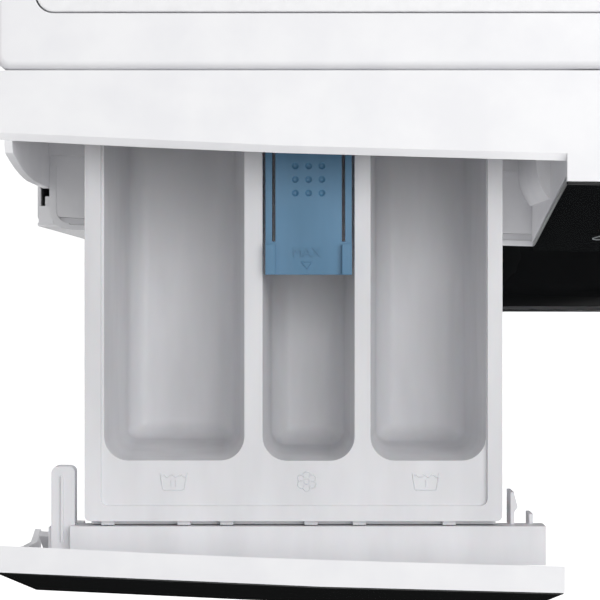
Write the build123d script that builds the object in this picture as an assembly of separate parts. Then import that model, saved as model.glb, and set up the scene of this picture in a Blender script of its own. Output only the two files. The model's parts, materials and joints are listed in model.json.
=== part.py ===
from build123d import *
import math
import os

# Front load washing machine. Millimetres, +Z up, the front faces -Y, +X is to the right of a person
# who faces the machine. Every function works with y = 0 on the steel front panel's outer face, and
# save() moves the piece so that the origin is on the floor, in the middle of the footprint.

# ---- driving dimensions -------------------------------------------------------------------------
width = 600.0
height = 850.0
cabinet_depth = 548.0
rear_reach = 565.0
drawer_reach = 152.06
cabinet_front_y = (drawer_reach - rear_reach) / 2
side = width / 2
sheet = 1.5
wall = 2.5

# control panel and its bow in plan
panel_low_z = 735.0
panel_top_y = 10.1
panel_low_y = -11.0
bow_radius = 5500.0
glass_thickness = 2.8
seam_y = 49.7
lean = math.degrees(math.atan((panel_top_y - panel_low_y) / (height - panel_low_z)))

# dial and buttons on the panel
knob_x = 20.0
knob_z = 790.0
knob_radius = 24.0
knob_shaft_radius = 3.0
power_x = -52.0
start_x = 262.0
button_radius = 7.4

# detergent drawer, drawn open by this much
drawer_open = 142.0
bay_left = -297.0
bay_right = -102.3
bay_rear_y = 32.0
rim_edge_y = 20.2
drawer_rim_z = 815.0
drawer_floor_z = 744.0
drawer_left = -272.3
drawer_right = -121.4
drawer_front_y = drawer_open - 109.4
drawer_length = 300.0
compartment_slope = 2.2

# porthole, door, drum and tub share one level axis
axis_z = 420.0
door_radius = 235.0
door_front_y = -34.8
porthole_radius = 182.0
drum_radius = 240.0
drum_front_y = 82.0
drum_rear_y = 415.0
tub_radius = 262.0
tub_front_y = 62.0
tub_joint_y = 230.0
tub_rear_y = 445.0
spring_x = 215.0
spring_y = 380.0
shaft_radius = 15.0
hinge_x = -226.5
hinge_y = -16.0
hinge_pin_radius = 4.0

# sump heater, and the drain pump behind its flap
heater_x = 30.0
heater_z = axis_z - 250
pump_x = 220.0
pump_z = 88.0
flap_axis_y = 3.8
flap_axis_z = 52.2

# services at the back
inlet_x = -200.0
inlet_z = 770.0
outlet_x = -200.0
outlet_y = 320.0
drain_x = 235.0
drain_z = 760.0
cord_z = 700.0
cover_screw_ring = 183.0
cover_screw_count = 8

# feet and the base
foot_x = 255.0
foot_front_y = 45.0
foot_rear_y = 500.0
stud_radius = 5.25
cabinet_base_z = 18.0
cabinet_top_z = 814.5


# ---- helpers ------------------------------------------------------------------------------------
def block(x0, x1, y0, y1, z0, z1):
    """A box between three pairs of planes."""
    return Pos((x0 + x1) / 2, (y0 + y1) / 2, (z0 + z1) / 2) * Box(x1 - x0, y1 - y0, z1 - z0)


def rod_y(radius, y0, y1, x=0.0, z=axis_z):
    """A cylinder along Y."""
    return Pos(x, (y0 + y1) / 2, z) * Rot(90, 0, 0) * Cylinder(radius, y1 - y0)


def ring_y(outer, inner, y0, y1, x=0.0, z=axis_z):
    """A tube along Y."""
    return rod_y(outer, y0, y1, x, z) - rod_y(inner, y0 - 1, y1 + 1, x, z)


def rod_z(radius, z0, z1, x, y):
    """A cylinder along Z."""
    return Pos(x, y, (z0 + z1) / 2) * Cylinder(radius, z1 - z0)


def rod_between(start, end, radius):
    """A round bar from one point to another."""
    line = Line(start, end)
    return extrude(Plane(origin=start, z_dir=line % 0) * Circle(radius), amount=line.length)


def turned(points, z=axis_z):
    """A solid turned about the drum's axis from a section of (radius, y) points."""
    section = make_face(Plane.XY * Polyline(*points, close=True))
    return Pos(0, 0, z) * revolve(section, Axis.Y)


def bowed(points, x0, x1):
    """A solid with one (y, z) section, swept along the front's bow, between two side planes."""
    section = make_face(Plane.YZ * Polyline(*points, close=True))
    axis = Axis((0, bow_radius, 0), (0, 0, 1))
    half = math.degrees(math.asin(1.05 * side / bow_radius))
    band = revolve(section.rotate(axis, -half), axis, 2 * half)
    return band & block(x0, x1, -400, 400, 0, height + 10)


def face_y(z, behind=0.0):
    """The panel face's y at a height, on the middle line, or a line a little behind it."""
    share = (height - z) / (height - panel_low_z)
    return panel_top_y + (panel_low_y - panel_top_y) * share + behind


def opened(shape):
    """A drawer piece, drawn with the drawer shut, at its open place."""
    return Pos(0, -drawer_open, 0) * shape


def save(name, shape):
    """Write one node's STEP file in the machine's own frame."""
    moved = Pos(0, cabinet_front_y, 0) * shape
    export_step(moved, f"parts/{name}.step")


# ---- cabinet ------------------------------------------------------------------------------------
def cabinet_side(sign):
    """One painted side sheet with folded front and rear flanges and a stiffening swage."""
    outer = block(side - 2, side - 2 + sheet, 3, cabinet_depth - 2, cabinet_base_z, cabinet_top_z)
    front = block(side - 16, side - 2 + sheet, 3, 3 + sheet, cabinet_base_z, 728.2)
    rear = block(side - 22, side - 2 + sheet, cabinet_depth - 2 - sheet, cabinet_depth - 2,
                 cabinet_base_z, cabinet_top_z)
    swage = block(side - 4, side - 2, 120, 430, 300, 620) - block(side - 5, side - 1, 122, 428, 302, 618)
    panel = outer + front + rear + swage - block(0, side, 0, seam_y + 0.3, 730.2, 900)
    return panel if sign > 0 else mirror(panel, Plane.YZ)


def cover_screw_places():
    """The (x, z) places of the access cover's screws."""
    places = []
    for turn in range(cover_screw_count):
        angle = math.radians(22.5 + 360 / cover_screw_count * turn)
        places.append((cover_screw_ring * math.cos(angle), axis_z + cover_screw_ring * math.sin(angle)))
    return places


def rear_panel():
    """The rear sheet with the round motor access hole, cable gland hole and hose holes."""
    y0 = cabinet_depth - 1.6
    sheet_metal = block(-side + 4, side - 4, y0, y0 + sheet, cabinet_base_z, cabinet_top_z)
    sheet_metal -= rod_y(170, y0 - 5, y0 + 5)
    sheet_metal -= rod_y(9, y0 - 5, y0 + 5, drain_x, cord_z)
    sheet_metal -= rod_y(14.5, y0 - 5, y0 + 5, inlet_x, inlet_z)
    sheet_metal -= rod_y(14, y0 - 5, y0 + 5, drain_x, drain_z)
    for x, z in cover_screw_places():
        sheet_metal -= rod_y(2.05, y0 - 5, y0 + 5, x, z)
    return sheet_metal


def rear_access_cover():
    """A dished round plastic cover over the motor."""
    y0 = cabinet_depth + 0.2
    dish = turned([(0, rear_reach - 2.5), (150, rear_reach - 2.5), (165, y0 + 1), (192, y0 + 1),
                   (192, y0 + 3.2), (166, y0 + 3.2), (151, rear_reach), (0, rear_reach)])
    for x, z in cover_screw_places():
        dish -= rod_y(2.6, y0 - 2, y0 + 8, x, z)
    return dish


def cover_screws():
    """The eight screws of the access cover."""
    y0 = cabinet_depth + 3.5
    screws = []
    for x, z in cover_screw_places():
        screws.append(rod_y(5, y0, y0 + 3, x, z) + rod_y(2, y0 - 12, y0 + 0.5, x, z))
    return Compound(children=screws)


def base_tray():
    """The base: a shallow tray with a rim, four foot bosses and two ears for the filter flap's pins."""
    x1 = side - 3
    y1 = cabinet_depth - 5
    tray = block(-x1, x1, 6, y1, cabinet_base_z, 62) - block(-x1 + 3, x1 - 3, 9, y1 - 3, 22, 70)
    for x in (-foot_x, foot_x):
        for y in (foot_front_y, foot_rear_y):
            tray += rod_z(18, cabinet_base_z, 50, x, y)
            tray -= rod_z(stud_radius + 0.05, 0, 80, x, y)
    tray -= block(pump_x - 42, pump_x + 42, 0, 30, 22, 80)
    for x in (pump_x - 44, pump_x + 44):
        tray += block(x - 2, x + 2, 1.8, 7, flap_axis_z - 4, flap_axis_z + 4)
    pin_hole = (flap_axis_y, flap_axis_z)
    return tray - rod_between((pump_x - 60, *pin_hole), (pump_x + 60, *pin_hole), 1.55)


def top_rail(y0):
    """A folded cross rail between the side sheets, under the worktop."""
    x1 = side - 3
    inside = block(-x1 - 1, x1 + 1, y0 + 2, y0 + 38, 790, cabinet_top_z - 2)
    return block(-x1, x1, y0, y0 + 40, 798, cabinet_top_z) - inside


def front_panel():
    """The painted front sheet with folded edges, the porthole and the filter flap opening."""
    x1 = side - 0.5
    panel = block(-x1, x1, 0, sheet, 24, 730)
    panel += block(-x1 + 3, x1 - 3, 0, 12, 728.5, 730)
    panel -= rod_y(porthole_radius, -5, 20)
    panel += ring_y(porthole_radius + 1.5, porthole_radius, 0, 10)
    panel -= block(pump_x - 40, pump_x + 40, -5, 20, pump_z - 40, pump_z + 40)
    panel -= block(185.2, 202, -5, 20, axis_z - 12, axis_z + 12)
    return fillet(panel.edges().filter_by(Axis.Y).filter_by_position(Axis.Z, 20, 26), 6)


def worktop_frame():
    """The moulded border of the worktop, with a ledge that carries the board."""
    rim = block(-side, side, seam_y + 0.5, 562, 815, height)
    rim = fillet(rim.edges().filter_by(Axis.Z), 5)
    rim = fillet(rim.faces().sort_by(Axis.Z)[-1].edges().sort_by(Axis.Y)[1:], 3)
    opening = block(-side + 14, side - 14, seam_y + 19.8, 548, 800, height + 5)
    opening = fillet(opening.edges().filter_by(Axis.Z), 6.5)
    ledge = block(-side + 2, side - 2, seam_y + 3, 560, 827.5, 831.5)
    ledge -= block(-side + 26, side - 26, seam_y + 32, 536, 820, 840)
    hollow = block(-side + 3, side - 3, seam_y + 3.5, 559, 800, height - 4)
    dispenser_room = block(-294, -110.5, 40, 348, 800, 830.6)
    return rim - opening - (hollow - opening) + ledge - dispenser_room


def worktop_inset():
    """The laminated board that drops into the worktop border."""
    board = block(-side + 14.4, side - 14.4, seam_y + 20.2, 547.6, 832, height - 0.6)
    return fillet(board.edges().filter_by(Axis.Z), 6.2)


# ---- control panel ------------------------------------------------------------------------------
def control_panel_housing():
    """The white shell behind the black face, with the drawer's bay at its left end."""
    back = seam_y + 4
    outer = [(back, height), (panel_top_y + 0.5, height), (panel_top_y + 0.5, height - 3),
             (face_y(height - 3, 3.1), height - 3), (face_y(panel_low_z, 3.1), panel_low_z),
             (back, panel_low_z)]
    inner = [(back + 2, height - wall), (face_y(height - 6, 5.8), height - wall),
             (face_y(panel_low_z + wall, 5.8), panel_low_z + wall), (back + 2, panel_low_z + wall)]
    shell = bowed(outer, -side, side) - bowed(inner, -side + wall, side - wall)
    shell -= bowed([(-60, 600), (rim_edge_y, 600), (rim_edge_y, 900), (-60, 900)], -310, bay_right)
    shell -= block(-310, -295.3, -50, 28.2, 600, height - wall)
    lip = bowed([(rim_edge_y - 0.1, height), (rim_edge_y - 2.5, height - 3.2),
                 (rim_edge_y - 1.2, height - 4.2), (rim_edge_y + 3, height - wall),
                 (rim_edge_y + 3, height)], -side + 0.1, bay_right + 0.1)
    end_wall = bowed(outer, bay_right, bay_right + wall)
    left_wall = bay_left_wall()
    housing = shell + lip + end_wall + left_wall + bay_sill() + bay_guide()
    housing -= panel_cut_outs()
    return housing & block(-side, side, -100, seam_y, 700, height)


def bay_left_wall():
    """The inner left wall of the bay, whose front edge curves back to the top rim."""
    edge = Line((15.0, 731), (15.0, 770))
    curve = ThreePointArc((15.0, 770), (16.4, 806), (21.6, 844.8))
    back = Polyline((21.6, 844.8), (24.5, 846.6), (seam_y, 846.6), (seam_y, 731), (15.0, 731))
    section = make_face(Plane.YZ * Curve([edge, curve, back]))
    return Pos(bay_left, 0, 0) * extrude(section, amount=wall + 0.3, dir=(1, 0, 0))


def bay_sill():
    """The sill under the drawer front: a lip, a groove and a floor, with a rounded left corner."""
    low = 730.6
    top = panel_low_z - 0.3
    left = bay_left + wall + 0.3
    rail = [(-9.0, low), (-9.0, top), (-6.9, top), (-6.6, low + 1.3), (-4.4, low + 1.3), (-4.1, top - 0.8),
            (bay_rear_y, top - 0.8), (bay_rear_y, low)]
    sill = bowed(rail, left, bay_right + wall)
    corner_x = left + 8
    corner_y = 6.6
    outside = block(left - 5, corner_x, corner_y - 15, corner_y, 700, 740)
    outside -= rod_z(8, 690, 750, corner_x, corner_y)
    rim = rod_z(8, low, top, corner_x, corner_y) - rod_z(5.4, low - 1, top + 1, corner_x, corner_y)
    rim &= block(left, corner_x, corner_y - 8, corner_y, low, top)
    wing = block(-side + 1.2, left + 1, 1, 8, low, low + 1.5)
    return sill - outside + rim + block(left, left + 2.6, corner_y, 24, low, top) + wing


def bay_guide():
    """The hollow guide at the bay's right, flat on top, whose side flares to the end wall in front."""
    inner_x = bay_right - 5.3
    tip_y = 7.9
    flare = ThreePointArc((inner_x, 22), (inner_x + 1.2, 14), (bay_right - 0.7, tip_y))
    sides = Polyline((bay_right - 0.7, tip_y), (bay_right + 0.2, tip_y), (bay_right + 0.2, bay_rear_y),
                     (inner_x, bay_rear_y), (inner_x, 22))
    guide = Pos(0, 0, 733) * extrude(make_face(Curve([flare, sides])), amount=800 - 733, dir=(0, 0, 1))
    return guide - block(inner_x + 1.6, bay_right, 16, 60, 733.9, 798.2)


def panel_cut_outs():
    """Holes behind the face for the knob's shaft, the display and the two buttons."""
    holes = rod_y(6.0, -30, 40, knob_x, knob_z)
    holes += block(96, 204, -30, 30, 770, 806)
    for x in (power_x, start_x):
        holes += rod_y(9.2, -30, 40, x, knob_z)
    return holes


def on_face(shape, x, z):
    """Set a piece drawn about its own -Y axis on the leaning, bowed face at a place."""
    plan = bow_radius - math.sqrt(bow_radius ** 2 - x ** 2)
    turn = math.degrees(math.asin(x / bow_radius))
    return Pos(x, face_y(z) + plan, z) * Rot(0, 0, turn) * Rot(-lean, 0, 0) * shape


def bar(radius, y0, y1):
    """A short cylinder along its own Y, about the local origin."""
    return Pos(0, (y0 + y1) / 2, 0) * Rot(90, 0, 0) * Cylinder(radius, y1 - y0)


def control_panel_glass():
    """The black face, with holes for the knob and the buttons. The display shines through it."""
    top = height - 3.3
    low = panel_low_z
    glass = bowed([(face_y(top), top), (face_y(low), low), (face_y(low, glass_thickness), low),
                   (face_y(top, glass_thickness), top)], bay_right + 0.2, side)
    glass -= on_face(bar(7.0, -10, 10), knob_x, knob_z)
    for x in (power_x, start_x):
        glass -= on_face(bar(button_radius + 0.6, -10, 10), x, knob_z)
    return glass


def program_knob():
    """The round knob with a grip flange and its shaft stub."""
    knob = bar(knob_radius, -20, -0.6)
    knob = fillet(knob.edges().sort_by(Axis.Y)[0], 2.5)
    knob += bar(knob_shaft_radius, -2, 12)
    pointer = Pos(0, -20, knob_radius - 6) * Box(1.6, 1.2, 9)
    return on_face(knob - pointer, knob_x, knob_z)


def push_button(x):
    """A round push button with a stem."""
    button = bar(button_radius, -2.2, 6) + bar(3, 5, 9)
    button = fillet(button.edges().sort_by(Axis.Y)[0], 0.8)
    return on_face(button, x, knob_z)


def control_board():
    """The electronics board with the display's light box and the knob's rotary switch on it."""
    board = block(-60, 285, 27, 29, 752, 832)
    board += block(98, 202, 8.5, 28, 774, 802)
    board += block(knob_x - 8, knob_x + 8, 11, 28, knob_z - 8, knob_z + 8)
    return board - on_face(bar(knob_shaft_radius + 0.1, 0, 16), knob_x, knob_z)


# ---- detergent drawer and dispenser -------------------------------------------------------------
def compartment(x0, x1, y0, y1, depth, draft):
    """One drafted compartment of the drawer as a solid, to be cut out. Its floor falls to the rear."""
    plan = Pos((x0 + x1) / 2, (y0 + y1) / 2, drawer_rim_z + 1) * RectangleRounded(x1 - x0, y1 - y0, 9)
    pocket = extrude(plan, amount=-depth - 1, taper=draft)
    ramp = Pos(0, y0, drawer_rim_z - depth + 8) * Rot(-compartment_slope, 0, 0)
    pocket -= ramp * Pos(0, 0, -100) * Box(900, 900, 200)
    return fillet(pocket.faces().sort_by(Axis.Z)[0].edges(), 8)


def drawer_box():
    """The three-compartment drawer with its rim, front ledge and side runners."""
    front = drawer_front_y
    rear = front + drawer_length
    box = block(drawer_left, drawer_right, front, rear, drawer_floor_z, drawer_rim_z)
    box = fillet(box.edges().filter_by(Axis.Z), 2)
    box = fillet(box.faces().sort_by(Axis.Z)[0].edges(), 6)
    y0 = front + 21.6
    y1 = rear - 6
    box -= compartment(-265.6, -214.4, y0, y1, 67, 5)
    box -= compartment(-208.2, -174.6, y0, y1, 64, 3)
    box -= compartment(-169.2, -127.0, y0, y1, 67, 4)
    recess = block(-266.4, -126.8, front + 5.6, rear - 5.6, drawer_rim_z - 1.8, drawer_rim_z + 1)
    box -= fillet(recess.edges().filter_by(Axis.Z), 2.5)
    runner = block(drawer_left - 2, drawer_left + 1, front + 40, rear - 5, 778, 781)
    box += runner + block(drawer_right - 1, drawer_right + 2, front + 40, rear - 5, 778, 781)
    box += block(drawer_left + 2, drawer_right - 2, front - 1.5, front + 1, 786, 810)
    for x in (-264, -236.5, -221, -190.5, -173, -140.5):
        box += block(x - 2.4, x + 2.4, front - 1.5, front + 1, 795, 813)
    return opened(box)


def siphon_cap():
    """The softener cap: a plate with raised side tabs, slots and the siphon tube below."""
    y0 = drawer_front_y + 89
    top = drawer_rim_z - 0.4
    cap = block(-207.0, -175.8, y0, y0 + 60, top - 2, top)
    for x in (-207.0, -179.3):
        cap += block(x, x + 3.5, y0, y0 + 11, top - 2, top + 2.2)
    for x in (-204.6, -179.4):
        cap -= block(x, x + 1.2, y0 + 12, y0 + 58, top - 5, top + 5)
    for column in (-1, 0, 1):
        for row in range(3):
            cap -= Pos(-191.4 + 4.8 * column, y0 + 29.5 + 4.9 * row, top + 0.5) * Sphere(1.3)
    cap += rod_z(6.5, 758, top - 1, -191.4, y0 + 50) - rod_z(5, 750, top - 3, -191.4, y0 + 50)
    cap += block(-201, -199.5, y0 + 14, y0 + 30, top - 12, top - 1)
    return opened(cap)


def drawer_front_shell():
    """The white drawer front: a strip on top, a backing, a floor, two side walls and a gusset."""
    x0 = -side + 0.3
    x1 = bay_right - 0.8
    top = height - 0.2
    strip = bowed([(panel_top_y + 0.3, top), (rim_edge_y - 0.5, top), (rim_edge_y - 3.4, top - 2.5),
                   (panel_top_y + 0.3, top - 2.5)], x0, x1)
    floor = bowed([(-6.5, 736), (0.4, 736), (0.4, 738.4), (-6.5, 738.4)], x0, x1)
    low = panel_low_z + 1
    backing = bowed([(face_y(top - 2, 3.0), top - 2), (face_y(low, 3.0), low), (face_y(low, 5.4), low),
                     (face_y(top - 2, 5.4), top - 2)], -293.9, x1)
    left = bowed([(face_y(top - 2, 3.0), top - 2), (face_y(low, 3.0), low), (13.5, low), (9.9, 750),
                  (11.0, 775), (14.0, 808), (17.0, top - 2)], x0, x0 + 2.4)
    gusset = bowed([(-1.8, 736), (0.2, 736), (16.7, 772), (14.7, 772)], -293.9, -286.5)
    right = bowed([(face_y(top - 2, 3.0), top - 2), (face_y(low, 3.0), low), (4.4, low),
                   (16.6, top - 2)], x1 - 1.4, x1)
    right -= block(x1 - 5, x1 + 5, 0, 40, 600, 814)
    return opened(strip + backing + left + right + floor + gusset)


def drawer_fascia():
    """The black face of the drawer front."""
    low = panel_low_z
    top = height - 3.3
    face = bowed([(face_y(top), top), (face_y(low), low), (face_y(low, glass_thickness), low),
                  (face_y(top, glass_thickness), top)], -side + 0.3, bay_right - 0.8)
    return opened(face)


def drawer_inner_cover():
    """The grey cover behind the drawer front, with its guide finger and snap hooks."""
    y0 = drawer_front_y - 15.9
    y1 = drawer_front_y - 1.8
    lid = block(-277.5, -105.7, y0, y1, 803, drawer_rim_z)
    lid -= block(-275.5, -107.7, y0 - 1, y1 - 2, 802, drawer_rim_z - 2)
    web = block(-270, -125, y1 - 3, y1, 745, 804)
    finger = block(-284.8, -276.2, y1 - 14, y1 + 21.3, 802, 811)
    finger = fillet(finger.edges().filter_by(Axis.Z).group_by(Axis.Y)[-1], 2.4)
    finger += block(-281.2, -280.2, y1 - 6, y1 + 18, 810, 812)
    finger += block(-286, -275, y1 - 14, y1 - 1, 784, 809)
    hook_a = block(-117.6, -116.2, y1 - 1, y1 + 11.5, 790, 806)
    barb = extrude(make_face(Plane.XY.offset(790) * Polyline(
        (-116.4, y1 + 4), (-114.9, y1 + 6), (-116.4, y1 + 11.5), close=True)), amount=16)
    hook_b = block(-110.8, -109.4, y1 - 1, y1 + 3.6, 793, 806)
    return opened(lid + web + finger + hook_a + barb + hook_b)


def dispenser_housing():
    """The box that the drawer runs in, with a sloping floor, an outlet and a water lid."""
    x0 = -292.3
    x1 = -112.2
    y0 = 33.0
    y1 = 345.0
    top = 830.0
    box = block(x0, x1, y0, y1, 738, top)
    box -= block(x0 + wall, x1 - wall, y0 - 1, y1 - wall, 740.5, top - wall)
    box += block(x0, x1, y0 + 30, y1, 736.5, 739)
    box -= rod_z(18, 700, 741, outlet_x, outlet_y)
    outlet = rod_z(22, 712, 737, outlet_x, outlet_y) - rod_z(18, 700, 745, outlet_x, outlet_y)
    return box + outlet


def dispenser_hose():
    """The bellows from the dispenser's outlet to the tub."""
    folds = [(22.3, 735), (25.5, 735)]
    for turn in range(5):
        z = 733 - 7 * turn
        folds += [(29, z - 1.5), (25.5, z - 5)]
    folds += [(25.5, 690), (22.3, 690)]
    section = make_face(Plane.XZ * Polyline(*folds, close=True))
    return Pos(outlet_x, outlet_y, 0) * revolve(section, Axis.Z)


def inlet_valve():
    """The water inlet valve: a threaded spigot through the rear sheet, a body and two coils."""
    x = inlet_x
    z = inlet_z
    valve = rod_y(13.2, 500, rear_reach - 2, x, z) - rod_y(8, 520, rear_reach + 1, x, z)
    valve += block(x - 18, x + 18, 480, 502, z - 16, z + 16)
    for dx in (-11, 11):
        valve += rod_z(9, z + 14, z + 40, x + dx, 491)
    valve += rod_y(7, 346, 482, x, z) - rod_y(4.5, 340, 479, x, z)
    return valve


# ---- door ---------------------------------------------------------------------------------------
def door_ring_outer():
    """The round black outer ring of the door, with a finger grip at its right edge."""
    ring = turned([(150, -3), (door_radius, -3), (door_radius, -22), (door_radius - 2, -28),
                   (door_radius - 6, -32.3), (door_radius - 9, -32.3), (door_radius - 9, -27),
                   (150, -27)])
    grip = Pos(door_radius - 12, -6, axis_z) * Box(36, 22, 96)
    grip = fillet(grip.edges().filter_by(Axis.X), 8)
    leaf = block(hinge_x - 12, hinge_x + 12, -23.2, 2, axis_z - 62, axis_z + 62)
    return ring - grip - leaf


def door_cover_glass():
    """The dark glass disc on the door's face."""
    disc = rod_y(door_radius - 9.4, door_front_y, -27.3)
    return fillet(disc.edges().sort_by(Axis.Y)[0], 1.6)


def door_ring_inner():
    """The inner door ring that clamps the bowl."""
    return turned([(142, -2.7), (200, -2.7), (204, -0.8), (172, -0.8), (170, 4), (164, 6.5), (160, 6.5),
                   (160, -0.5), (142, -0.5)])


def door_glass_bowl():
    """The pressed glass bowl that reaches into the drum's mouth."""
    outer = [(0, 92), (95, 90), (118, 78), (138, 30), (150, 5), (158, 5), (158, -0.2), (146, -0.2)]
    inner = [(132, 30), (112, 74), (93, 84), (0, 86)]
    return turned(outer + inner)


def door_hinge_bracket():
    """The fixed hinge plate with two knuckles, screwed on the front sheet."""
    plate = block(hinge_x - 1, hinge_x + 18, -1.5, -0.2, axis_z - 60, axis_z + 60)
    for z in (axis_z - 50, axis_z + 50):
        plate += block(hinge_x + 0.5, hinge_x + 6, hinge_y, -1, z - 6, z + 6)
        plate += rod_z(6.4, z - 6, z + 6, hinge_x, hinge_y)
        plate -= rod_z(hinge_pin_radius + 0.05, z - 20, z + 20, hinge_x, hinge_y)
    return plate


def door_hinge_arm():
    """The moving hinge knuckle between the fixed ones, on the door ring."""
    arm = rod_z(6.4, axis_z - 43, axis_z + 43, hinge_x, hinge_y)
    arm += block(hinge_x - 6, hinge_x + 11.6, -23, hinge_y - 4.4, axis_z - 43, axis_z + 43)
    arm -= rod_z(hinge_pin_radius, axis_z - 60, axis_z + 60, hinge_x, hinge_y)
    return arm


def door_hinge_pin():
    """The steel pin, pressed in the moving knuckle and free in the fixed ones."""
    return rod_z(hinge_pin_radius, axis_z - 57, axis_z + 57, hinge_x, hinge_y)


def door_latch_hook():
    """The sprung hook on the inner ring that the lock catches."""
    x0 = porthole_radius + 6
    low = axis_z - 9
    high = axis_z + 9
    stem = block(x0, x0 + 3, 0.6, 22, low, high)
    barb = block(x0, x0 + 10, 18, 22, low, high)
    foot_plate = block(x0, x0 + 6, -0.4, 3.5, low, high)
    return stem + barb + foot_plate


def door_lock():
    """The electric door lock behind the front sheet."""
    body = block(192, 232, 3.2, 34, axis_z - 40, axis_z + 40)
    return body - block(180, 214, 2, 28, axis_z - 12, axis_z + 12)


def door_gasket():
    """The EPDM bellows between the porthole and the tub's mouth."""
    outer = [(180, 2.2), (180, 12), (176, 14), (174, 26), (190, 34), (191, 44), (178, 50), (178, 60.5),
             (170, 60.5), (170, 46), (183, 41), (183, 38), (166, 30), (151, 20), (151, 13), (166, 12),
             (173, 8), (173, 2.2)]
    return turned(outer)


# ---- drum, tub and drive ------------------------------------------------------------------------
def tub_half(front):
    """One moulded half of the tub, with its bolt flange at the joint."""
    if front:
        shell = turned([(179, tub_front_y - 1), (185, tub_front_y - 1), (187, tub_front_y + 4),
                        (tub_radius, tub_front_y + 10), (tub_radius, tub_joint_y - 8),
                        (tub_radius + 12, tub_joint_y - 8), (tub_radius + 12, tub_joint_y - 0.2),
                        (tub_radius - 4, tub_joint_y - 0.2), (tub_radius - 4, tub_front_y + 14),
                        (179, tub_front_y + 8)])
        return shell
    shell = turned([(34, tub_rear_y - 4), (34, tub_rear_y), (tub_radius - 6, tub_rear_y),
                    (tub_radius, tub_rear_y - 8), (tub_radius, tub_joint_y + 8),
                    (tub_radius + 12, tub_joint_y + 8), (tub_radius + 12, tub_joint_y),
                    (tub_radius - 4, tub_joint_y), (tub_radius - 4, tub_rear_y - 12),
                    (70, tub_rear_y - 12), (50, tub_rear_y - 30), (31, tub_rear_y - 30),
                    (31, tub_rear_y - 4)])
    shell += ring_y(50, 31, tub_rear_y - 2, tub_rear_y + 6)
    shell += rod_z(22, 560, 700, outlet_x, outlet_y) - rod_y(tub_radius - 2, 200, 430)
    shell -= rod_z(18, 500, 705, outlet_x, outlet_y)
    for x in (-heater_x, heater_x):
        shell -= rod_y(4.3, tub_rear_y - 20, tub_rear_y + 10, x, heater_z)
    return shell + spring_ear(-1) + spring_ear(1)


def drum_shell():
    """The stainless drum wall with its rolled mouth. The perforations are left to the finish."""
    return turned([(188, drum_front_y), (232, drum_front_y + 1), (drum_radius, drum_front_y + 12),
                   (drum_radius, drum_rear_y), (drum_radius - 1.6, drum_rear_y),
                   (drum_radius - 1.6, drum_front_y + 12.5), (231, drum_front_y + 3),
                   (190, drum_front_y + 2), (190, drum_front_y + 7), (188, drum_front_y + 7)])


def drum_back():
    """The stainless back disc, dished forwards."""
    y1 = drum_rear_y - 1
    return turned([(0, y1 - 26), (90, y1 - 26), (140, y1 - 9), (drum_radius - 2, y1 - 9),
                   (drum_radius - 2, y1), (drum_radius - 4, y1), (drum_radius - 4, y1 - 7),
                   (139, y1 - 7), (89, y1 - 24), (0, y1 - 24)])


def drum_lifters():
    """Three hollow paddles on the drum's wall."""
    outline = Polyline((-32, 245), (-32, 234), (-22, 228), (-9, 196), (0, 190), (9, 196), (22, 228),
                       (32, 234), (32, 245), close=True)
    paddle = extrude(make_face(Plane.XZ * outline), amount=drum_rear_y - drum_front_y - 60, dir=(0, -1, 0))
    paddle = Pos(0, drum_rear_y - 30, 0) * paddle & rod_y(drum_radius - 1.9, 0, 600, 0, 0)
    turns = [Pos(0, 0, axis_z) * Rot(0, 60 + 120 * turn, 0) * paddle for turn in range(3)]
    return Compound(children=turns)


def drum_spider():
    """The three-armed cast hub behind the drum."""
    y0 = drum_rear_y - 8
    spider = ring_y(34, shaft_radius, y0 - 12, y0 + 6)
    for turn in range(3):
        arm = block(-14, 14, y0 + 1.5, y0 + 6, 30, drum_radius - 8)
        spider += Pos(0, 0, axis_z) * Rot(0, 120 * turn, 0) * arm
    return spider - rod_y(shaft_radius, 0, 700)


def drum_shaft():
    """The steel shaft from the spider to the rotor."""
    return rod_y(shaft_radius, drum_rear_y - 19, 470) + rod_y(9, 469, 496)


def drum_bearings():
    """The two ball bearings in the tub's hub, drawn as their rings."""
    return Compound(children=[
        ring_y(31, shaft_radius + 0.05, tub_rear_y - 26, tub_rear_y - 12),
        ring_y(31, shaft_radius + 0.05, tub_rear_y - 10, tub_rear_y + 4),
    ])


def shaft_seal():
    """The lip seal in front of the bearings."""
    return ring_y(31, shaft_radius + 0.08, tub_rear_y - 30, tub_rear_y - 26.2)


def stator():
    """The motor's stator ring with its wound poles, bolted to the tub."""
    ring = ring_y(84, 54, tub_rear_y + 6.2, tub_rear_y + 30)
    for turn in range(18):
        pole = block(-7, 7, tub_rear_y + 9, tub_rear_y + 27, 82, 117)
        ring += Pos(0, 0, axis_z) * Rot(0, 20 * turn, 0) * pole
    return ring


def rotor():
    """The bell-shaped rotor outside the stator."""
    y0 = tub_rear_y + 8
    bell = turned([(9.0, y0 + 33), (20, y0 + 33), (22, y0 + 29), (122, y0 + 29), (122, y0), (129, y0),
                   (129, y0 + 31.5), (24, y0 + 31.5), (22, y0 + 41), (9.0, y0 + 41)])
    for turn in range(8):
        slot = block(-8, 8, y0 + 20, y0 + 40, 50, 105)
        bell -= Pos(0, 0, axis_z) * Rot(0, 22.5 + 45 * turn, 0) * slot
    return bell


def rotor_bolt():
    """The bolt and washer on the shaft's end."""
    y0 = tub_rear_y + 51.2
    hexagon = Pos(0, y0 + 12, axis_z) * Rot(90, 0, 0) * extrude(RegularPolygon(10, 6), amount=9)
    return hexagon + rod_y(14, y0, y0 + 3.2)


def counterweight_front():
    """The concrete ring segment round the tub's mouth."""
    ring = ring_y(254, 196, tub_front_y - 22, tub_front_y + 2.5)
    return ring & block(-270, 270, 0, 200, axis_z + 20, axis_z + 300)


def counterweight_top():
    """The concrete block strapped on the tub."""
    slab = block(-120, 150, 110, 210, 650, 716)
    return slab - rod_y(tub_radius + 0.4, 90, 260)


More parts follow.
